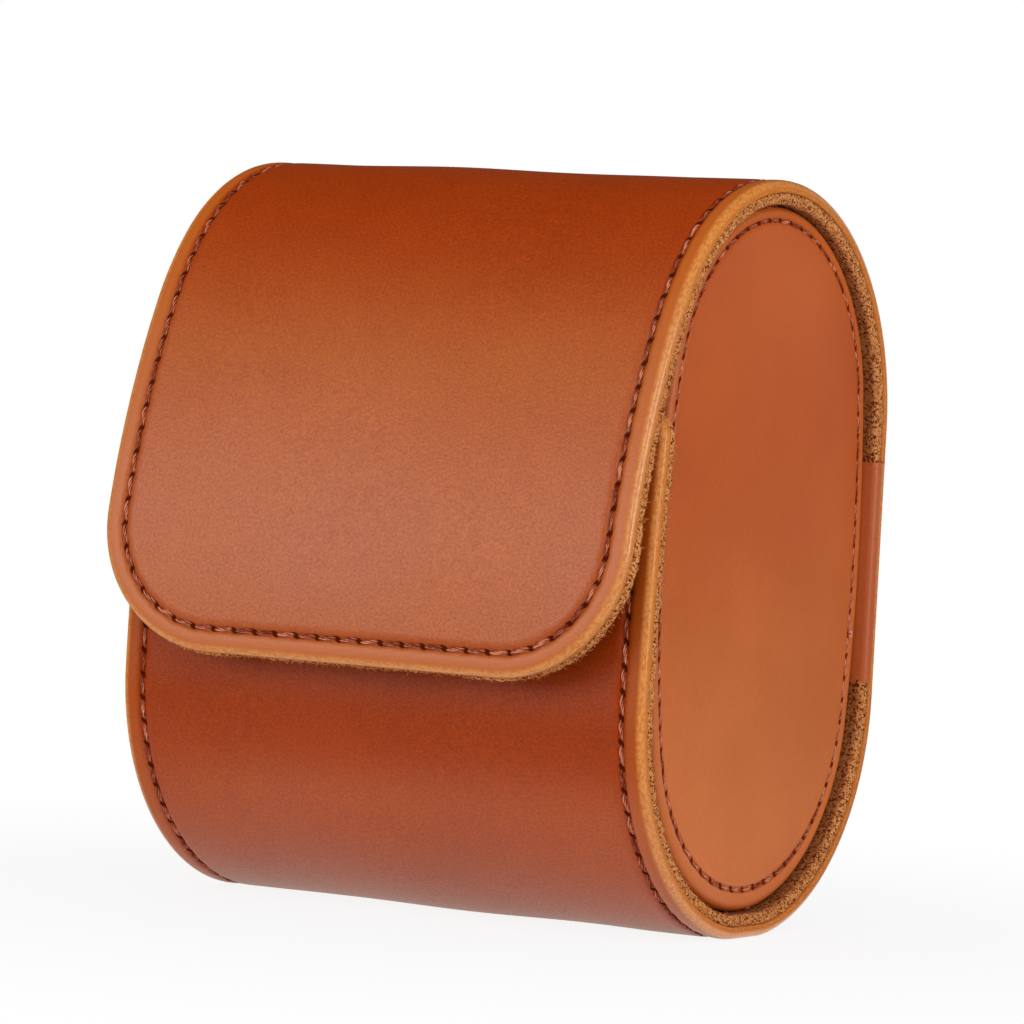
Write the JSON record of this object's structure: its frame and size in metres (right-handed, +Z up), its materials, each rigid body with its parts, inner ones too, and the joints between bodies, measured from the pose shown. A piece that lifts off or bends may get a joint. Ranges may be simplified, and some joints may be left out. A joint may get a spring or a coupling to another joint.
{
  "type": "watch travel case",
  "caption": "Travel case for a wrist watch: a leather wrap with oval end panels and a flap over the top and front, round a lift-out watch pillow.",
  "frame": {"origin": "middle of the foot, on the surface that the case stands on", "axes": "+Z up; -Y to the front, where the flap closes; +X to the right end panel seen from the front"},
  "size_m": [0.0804, 0.0714, 0.1],
  "materials": {
    "wrap_leather": "satin vegetable-tanned leather, orange-brown",
    "panel_leather": "smooth satin leather, orange-brown",
    "strip_leather": "smooth satin leather, reddish brown",
    "suede": "rough tan suede",
    "board": "fibreboard, matt",
    "magnet": "nickel-plated",
    "foam": "soft foam, matt"
  },
  "bodies": {
    "case": {"case_leather": "wrap_leather", "case_lining": "suede", "spine_strip": "strip_leather", "end_panel_left": "panel_leather", "end_panel_right": "panel_leather", "end_board_left": "board", "end_board_right": "board", "end_lining_left": "suede", "end_lining_right": "suede", "end_tab_left": "strip_leather", "end_tab_right": "strip_leather", "case_magnet_left": "magnet", "case_magnet_right": "magnet"},
    "flap": {"flap_leather": "wrap_leather", "flap_lining": "suede", "flap_magnet_left": "magnet", "flap_magnet_right": "magnet"},
    "pillow": {"pillow_core": "foam", "pillow_cover": "suede", "pillow_end_left": "suede", "pillow_end_right": "suede"}
  },
  "joints": [
    {"name": "flap_bend", "type": "hinge", "parent": "case", "child": "flap", "pos_m": [0, 0.0322, 0.0632], "axis": [-1, 0, 0], "range_deg": [0, 120]},
    {"name": "pillow_lift", "type": "slide", "parent": "case", "child": "pillow", "axis": [0, 0, 1], "range_m": [0, 0.02]}
  ]
}
